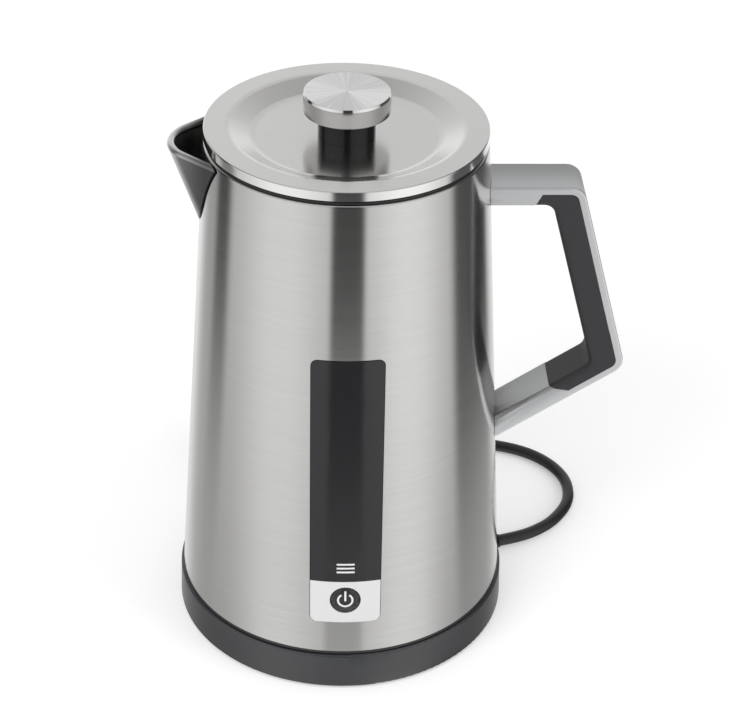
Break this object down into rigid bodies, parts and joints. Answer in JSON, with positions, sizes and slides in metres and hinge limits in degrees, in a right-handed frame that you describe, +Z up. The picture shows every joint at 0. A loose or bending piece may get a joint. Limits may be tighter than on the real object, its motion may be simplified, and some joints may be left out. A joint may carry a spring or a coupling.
{
  "type": "cordless electric kettle",
  "caption": "Tapered double-walled steel electric kettle with a lift-off knob lid, folded spout, angular handle and display strip, standing on a round corded power base.",
  "frame": {"origin": "on the kettle's vertical axis, at the surface that the power base stands on", "axes": "+Z up, display strip and button towards -Y, spout towards -X, handle towards +X"},
  "size_m": [0.2028, 0.2617, 0.2645],
  "materials": {
    "housing": "fine matte texture",
    "inner_plastic": "plain moulded",
    "foot_rubber": "soft rubber",
    "screw_steel": "zinc-plated",
    "contact_brass": "worn by contact",
    "cord_rubber": "satin sleeve",
    "plug_rubber": "moulded matte",
    "pin_metal": "nickel-plated",
    "shell_steel": "polished, finely brushed",
    "pot_steel": "satin inside",
    "heater_aluminium": "as cast",
    "element_steel": "heat-tinted",
    "bracket_steel": "pressed sheet",
    "seal_silicone": "silicone",
    "lens_black": "high gloss",
    "plate_white": "high gloss",
    "button_dark": "satin gloss",
    "light_guide": "frosted",
    "board_green": "solder mask",
    "handle_metal": "satin lacquer",
    "grip_soft": "soft-touch coat",
    "lid_steel": "polished",
    "knob_steel": "turned, radial grain",
    "knob_black": "gloss"
  },
  "bodies": {
    "power_base": {"base_housing": "housing", "base_plate": "inner_plastic", "base_feet": "foot_rubber", "base_screws": "screw_steel", "connector_base": "inner_plastic", "strain_relief": "cord_rubber", "power_cord": "cord_rubber", "cord_coil": "cord_rubber", "cord_tail": "cord_rubber", "cord_tie": "seal_silicone", "plug_body": "plug_rubber", "plug_pins": "pin_metal", "plug_earth_clips": "contact_brass"},
    "swivel": {"connector_post": "inner_plastic", "contact_rings": "contact_brass"},
    "jug": {"bottom_cover": "housing", "cover_screws": "screw_steel", "pot_studs": "bracket_steel", "connector_socket": "inner_plastic", "controller_bracket": "bracket_steel", "heater_plate": "heater_aluminium", "heating_element": "element_steel", "temperature_probe": "pot_steel", "outer_shell": "shell_steel", "inner_pot": "pot_steel", "port_sleeve": "seal_silicone", "spout_filter": "inner_plastic", "spout": "shell_steel", "display_lens": "lens_black", "indicator_bars": "light_guide", "button_plate": "plate_white", "panel_frame": "inner_plastic", "display_board": "board_green", "button_switch": "inner_plastic", "handle_frame": "handle_metal", "handle_grip": "grip_soft", "handle_brackets": "bracket_steel", "handle_screws": "screw_steel"},
    "button": {"power_button": "button_dark"},
    "lid": {"lid_cap": "lid_steel", "lid_liner": "inner_plastic", "lid_gasket": "seal_silicone", "knob_neck": "knob_black", "knob_cap": "knob_steel", "knob_screw": "screw_steel"}
  },
  "joints": [
    {"name": "jug_turn", "type": "hinge", "parent": "power_base", "child": "swivel", "pos_m": [0, 0, 0.0146], "axis": [0, 0, 1], "continuous": true},
    {"name": "jug_lift", "type": "slide", "parent": "swivel", "child": "jug", "axis": [0, 0, 1], "range_m": [0, 0.045]},
    {"name": "lid_lift", "type": "slide", "parent": "jug", "child": "lid", "axis": [0, 0, 1], "range_m": [0, 0.04]},
    {"name": "button_press", "type": "slide", "parent": "jug", "child": "button", "axis": [0, 1, 0], "range_m": [0, 0.0005], "stiffness_N_per_m": 400, "springref_m": -0.0008}
  ]
}
